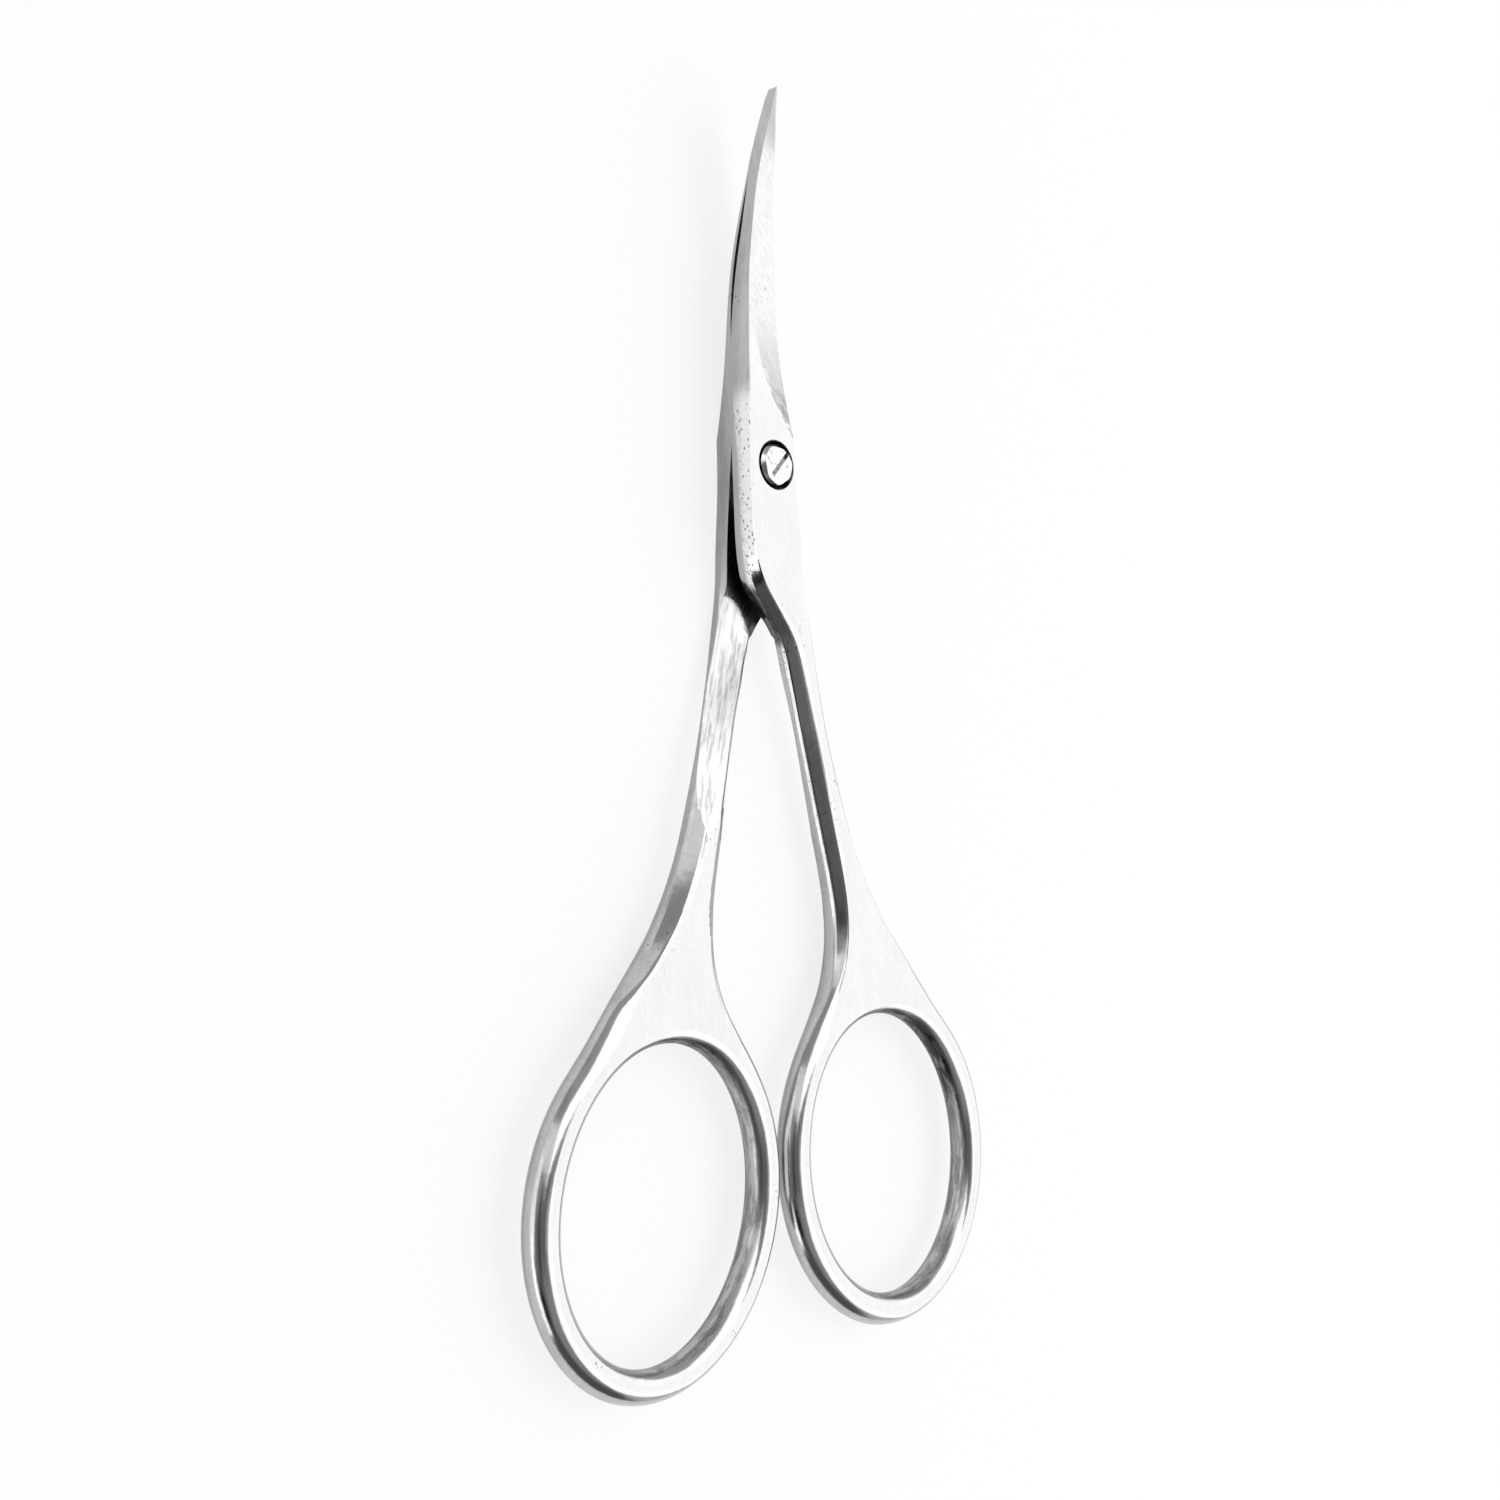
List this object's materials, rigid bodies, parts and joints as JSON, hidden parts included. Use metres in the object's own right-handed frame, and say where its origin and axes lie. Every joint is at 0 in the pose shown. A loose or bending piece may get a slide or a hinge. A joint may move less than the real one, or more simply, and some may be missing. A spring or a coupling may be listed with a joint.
{
  "type": "cuticle scissors",
  "caption": "Small curved cuticle scissors in polished steel: a front and a rear half with oval finger rings, turning on a slotted pivot screw.",
  "frame": {"origin": "middle of the closed scissors' width and length, on the plane that the back of the box joint lies on", "axes": "+Z out of the front face, where the screw head shows; +Y towards the blade tips; +X to the right seen from the front"},
  "size_m": [0.047, 0.0924, 0.006],
  "materials": {
    "polished_steel": "polished stainless steel with fine grinding lines",
    "turned_steel": "turned and polished stainless steel"
  },
  "bodies": {
    "rear": {"rear_half": "polished_steel", "pivot_screw": "turned_steel"},
    "front": {"front_half": "polished_steel"}
  },
  "joints": [
    {"name": "pivot", "type": "hinge", "parent": "rear", "child": "front", "pos_m": [0, 0.01879, 0.00208], "axis": [0, 0, 1], "range_deg": [0, 90]}
  ]
}
